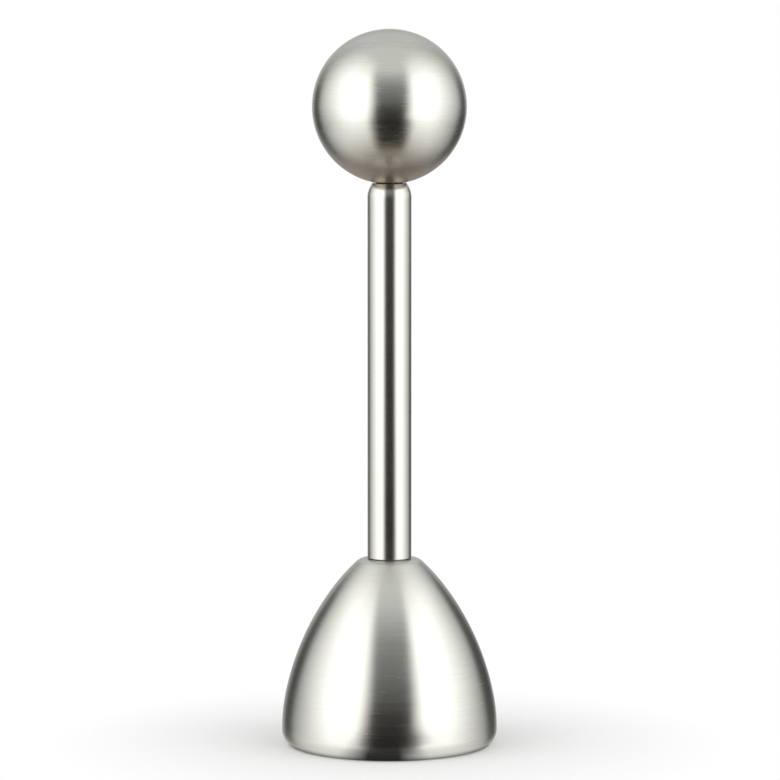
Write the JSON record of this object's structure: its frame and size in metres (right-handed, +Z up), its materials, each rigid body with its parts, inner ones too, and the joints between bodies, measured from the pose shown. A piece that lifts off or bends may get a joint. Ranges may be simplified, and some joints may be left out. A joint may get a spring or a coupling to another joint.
{
  "type": "egg topper",
  "caption": "Spring-loaded egg topper: an egg-shaped steel bell, a slim tube handle and a ball that is pulled up and let go to strike the shell.",
  "frame": {"origin": "centre of the bell's rim, in the plane that the rim stands on", "axes": "+Z up along the tool's axis, from the rim to the ball; the tool is turned about +Z, so +X and +Y are free choices"},
  "size_m": [0.0392, 0.0392, 0.1305],
  "materials": {
    "ball_steel": "satin turned stainless steel, fine lines round the axis",
    "bell_steel": "satin turned stainless steel, fine lines round the axis",
    "tube_steel": "polished stainless tube with faint drawing lines",
    "inner_steel": "bright turned steel",
    "rod_steel": "ground stainless rod",
    "spring_wire": "drawn stainless spring wire",
    "fastener_steel": "bright stainless fastener",
    "bush_acetal": "black acetal"
  },
  "bodies": {
    "handle": {"bell": "bell_steel", "handle_tube": "tube_steel", "guide_bush": "bush_acetal", "anvil_plug": "inner_steel", "bell_screw": "fastener_steel", "lock_washer": "fastener_steel", "spring_top_washer": "fastener_steel", "return_spring": "spring_wire"},
    "spring_seat": {"spring_seat_washer": "fastener_steel"},
    "striker": {"hammer": "inner_steel", "hammer_lock_nut": "fastener_steel", "striker_rod": "rod_steel", "ball_knob": "ball_steel"}
  },
  "joints": [
    {"name": "ball_pull", "type": "slide", "parent": "handle", "child": "spring_seat", "axis": [0, 0, 1], "range_m": [0, 0.022], "stiffness_N_per_m": 520, "springref_m": -0.01, "deforming": ["return_spring"]},
    {"name": "ball_spin", "type": "hinge", "parent": "spring_seat", "child": "striker", "pos_m": [0, 0, 0.056], "axis": [0, 0, 1], "continuous": true}
  ]
}
